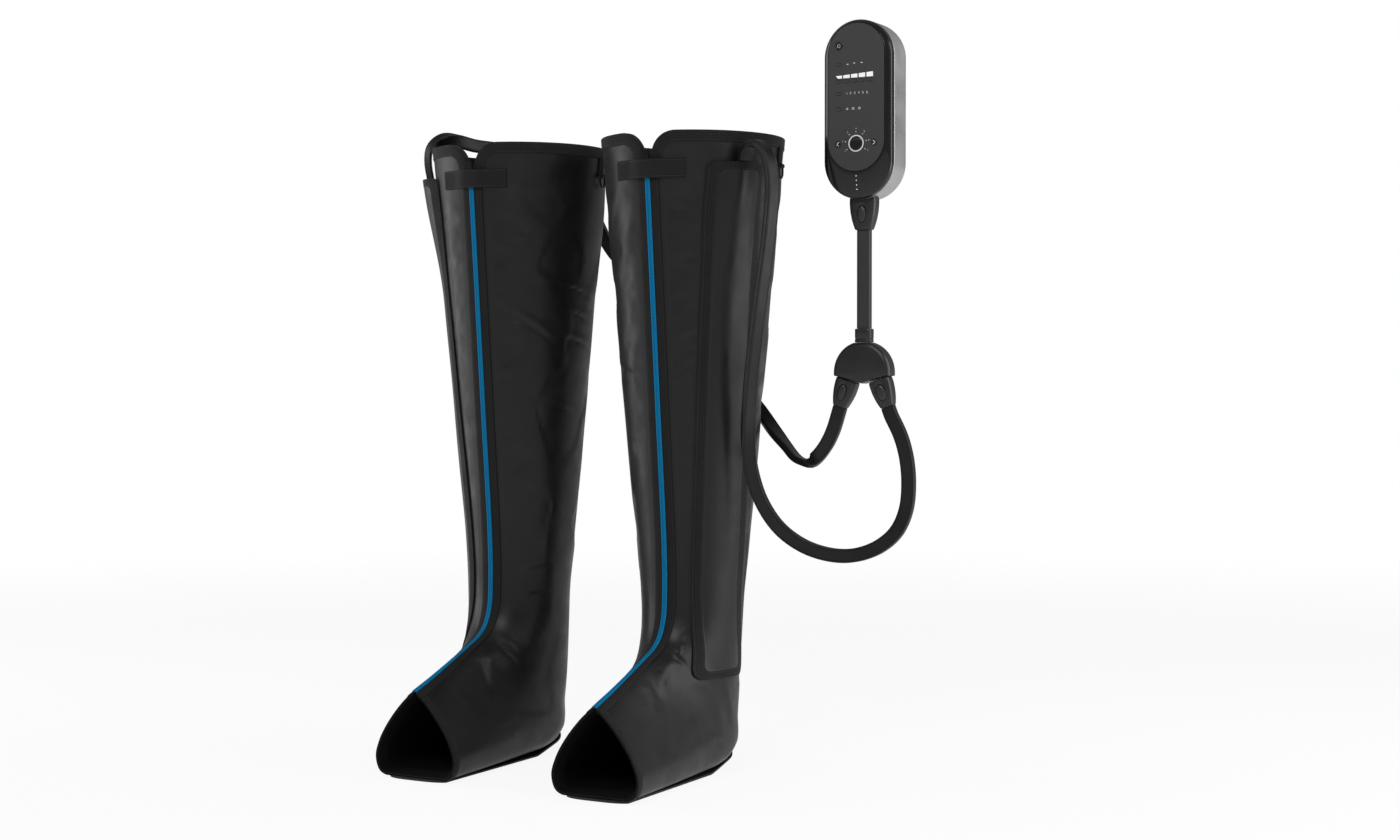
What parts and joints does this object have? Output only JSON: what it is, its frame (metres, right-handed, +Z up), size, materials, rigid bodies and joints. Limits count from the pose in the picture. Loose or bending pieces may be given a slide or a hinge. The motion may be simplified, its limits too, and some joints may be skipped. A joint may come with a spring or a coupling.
{
  "type": "compression therapy pump",
  "caption": "Tall air compression leg boots standing side by side, joined by flat hoses and a splitter to a slim hand-held pump with a button panel.",
  "frame": {"origin": "on the floor, under the middle of the set without its hoses", "axes": "+Z up, -Y where the toes and the pump's buttons face, +X from the left boot to the right boot and the pump"},
  "size_m": [0.7051, 0.3967, 0.953],
  "materials": {
    "outer_fabric": "satin coated fabric",
    "binding": "matte woven tape",
    "lining": "matte coated fabric",
    "sole": "matte",
    "zip_blue": "satin",
    "black_metal": "satin black",
    "hose": "satin",
    "plug": "satin",
    "gloss_black": "gloss",
    "grey_shell": "satin metallic paint",
    "panel": "matte",
    "button": "satin",
    "white_light": "milky",
    "board": "satin",
    "battery": "satin film",
    "cast_metal": "cast",
    "motor_steel": "brushed",
    "manifold": "satin"
  },
  "bodies": {
    "boots_and_hoses": {"right_shell": "outer_fabric", "right_bladder": "lining", "right_sole": "sole", "right_zip_tape": "binding", "right_zip_coil": "zip_blue", "right_zip_slider": "black_metal", "right_hose_sleeve": "outer_fabric", "right_ring_tab": "binding", "left_shell": "outer_fabric", "left_bladder": "lining", "left_sole": "sole", "left_zip_tape": "binding", "left_zip_coil": "zip_blue", "left_zip_slider": "black_metal", "left_hose_sleeve": "outer_fabric", "left_ring_tab": "binding", "splitter_front": "plug", "splitter_back": "plug", "splitter_collar": "plug", "pump_plug": "plug", "trunk_hose": "hose", "right_branch_plug": "plug", "right_hose": "hose", "left_branch_plug": "plug", "left_hose": "hose"},
    "pump": {"front_shell": "gloss_black", "rear_shell": "grey_shell", "control_panel": "panel", "chamber_light_guide": "white_light", "start_ring": "white_light", "main_board": "board", "battery_pack": "battery", "air_compressor": "cast_metal", "compressor_motor": "motor_steel", "valve_manifold": "manifold", "outlet_socket": "button", "charge_socket": "button"},
    "power_button": {"power_button": "button"},
    "pressure_button": {"pressure_button": "button"},
    "chamber_button_1": {"chamber_button_1": "button"},
    "chamber_button_2": {"chamber_button_2": "button"},
    "chamber_button_3": {"chamber_button_3": "button"},
    "chamber_button_4": {"chamber_button_4": "button"},
    "chamber_button_5": {"chamber_button_5": "button"},
    "mode_button": {"mode_button": "button"},
    "time_button": {"time_button": "button"},
    "previous_button": {"previous_button": "button"},
    "next_button": {"next_button": "button"},
    "start_button": {"start_button": "button"},
    "pump_plug_release": {"pump_plug_release": "button"},
    "right_branch_plug_release": {"right_branch_plug_release": "button"},
    "left_branch_plug_release": {"left_branch_plug_release": "button"},
    "right_strap": {"right_closure_strap": "binding"},
    "right_ring": {"right_d_ring": "black_metal"},
    "left_strap": {"left_closure_strap": "binding"},
    "left_ring": {"left_d_ring": "black_metal"}
  },
  "joints": [
    {"name": "pump_unplug", "type": "slide", "parent": "boots_and_hoses", "child": "pump", "axis": [0, 0, 1], "range_m": [0, 0.02]},
    {"name": "power_button_press", "type": "slide", "parent": "pump", "child": "power_button", "axis": [0, 1, 0], "range_m": [0, 0.0008], "stiffness_N_per_m": 500, "springref_m": -0.0005},
    {"name": "pressure_button_press", "type": "slide", "parent": "pump", "child": "pressure_button", "axis": [0, 1, 0], "range_m": [0, 0.0008], "stiffness_N_per_m": 500, "springref_m": -0.0005},
    {"name": "chamber_button_1_press", "type": "slide", "parent": "pump", "child": "chamber_button_1", "axis": [0, 1, 0], "range_m": [0, 0.0008], "stiffness_N_per_m": 500, "springref_m": -0.0005},
    {"name": "chamber_button_2_press", "type": "slide", "parent": "pump", "child": "chamber_button_2", "axis": [0, 1, 0], "range_m": [0, 0.0008], "stiffness_N_per_m": 500, "springref_m": -0.0005},
    {"name": "chamber_button_3_press", "type": "slide", "parent": "pump", "child": "chamber_button_3", "axis": [0, 1, 0], "range_m": [0, 0.0008], "stiffness_N_per_m": 500, "springref_m": -0.0005},
    {"name": "chamber_button_4_press", "type": "slide", "parent": "pump", "child": "chamber_button_4", "axis": [0, 1, 0], "range_m": [0, 0.0008], "stiffness_N_per_m": 500, "springref_m": -0.0005},
    {"name": "chamber_button_5_press", "type": "slide", "parent": "pump", "child": "chamber_button_5", "axis": [0, 1, 0], "range_m": [0, 0.0008], "stiffness_N_per_m": 500, "springref_m": -0.0005},
    {"name": "mode_button_press", "type": "slide", "parent": "pump", "child": "mode_button", "axis": [0, 1, 0], "range_m": [0, 0.0008], "stiffness_N_per_m": 500, "springref_m": -0.0005},
    {"name": "time_button_press", "type": "slide", "parent": "pump", "child": "time_button", "axis": [0, 1, 0], "range_m": [0, 0.0008], "stiffness_N_per_m": 500, "springref_m": -0.0005},
    {"name": "previous_button_press", "type": "slide", "parent": "pump", "child": "previous_button", "axis": [0, 1, 0], "range_m": [0, 0.0008], "stiffness_N_per_m": 500, "springref_m": -0.0005},
    {"name": "next_button_press", "type": "slide", "parent": "pump", "child": "next_button", "axis": [0, 1, 0], "range_m": [0, 0.0008], "stiffness_N_per_m": 500, "springref_m": -0.0005},
    {"name": "start_button_press", "type": "slide", "parent": "pump", "child": "start_button", "axis": [0, 1, 0], "range_m": [0, 0.0008], "stiffness_N_per_m": 500, "springref_m": -0.0005},
    {"name": "pump_plug_release_press", "type": "slide", "parent": "boots_and_hoses", "child": "pump_plug_release", "axis": [0, 1, 0], "range_m": [0, 0.0013], "stiffness_N_per_m": 800, "springref_m": -0.0005},
    {"name": "right_branch_plug_release_press", "type": "slide", "parent": "boots_and_hoses", "child": "right_branch_plug_release", "axis": [0, 1, 0], "range_m": [0, 0.0013], "stiffness_N_per_m": 800, "springref_m": -0.0005},
    {"name": "left_branch_plug_release_press", "type": "slide", "parent": "boots_and_hoses", "child": "left_branch_plug_release", "axis": [0, 1, 0], "range_m": [0, 0.0013], "stiffness_N_per_m": 800, "springref_m": -0.0005},
    {"name": "right_strap_open", "type": "hinge", "parent": "boots_and_hoses", "child": "right_strap", "pos_m": [-0.00037, -0.04401, 0.773], "axis": [0.0017, 0.0966, -0.9953], "range_deg": [0, 120]},
    {"name": "right_ring_swing", "type": "hinge", "parent": "boots_and_hoses", "child": "right_ring", "pos_m": [0.16655, 0.08208, 0.78263], "axis": [0.175, -0.9846, 0], "range_deg": [-4, 110]},
    {"name": "left_strap_open", "type": "hinge", "parent": "boots_and_hoses", "child": "left_strap", "pos_m": [-0.17205, -0.04401, 0.773], "axis": [0.0017, -0.0966, 0.9953], "range_deg": [0, 120]},
    {"name": "left_ring_swing", "type": "hinge", "parent": "boots_and_hoses", "child": "left_ring", "pos_m": [-0.10345, 0.08208, 0.78263], "axis": [0.175, -0.9846, 0], "range_deg": [-4, 110]}
  ]
}
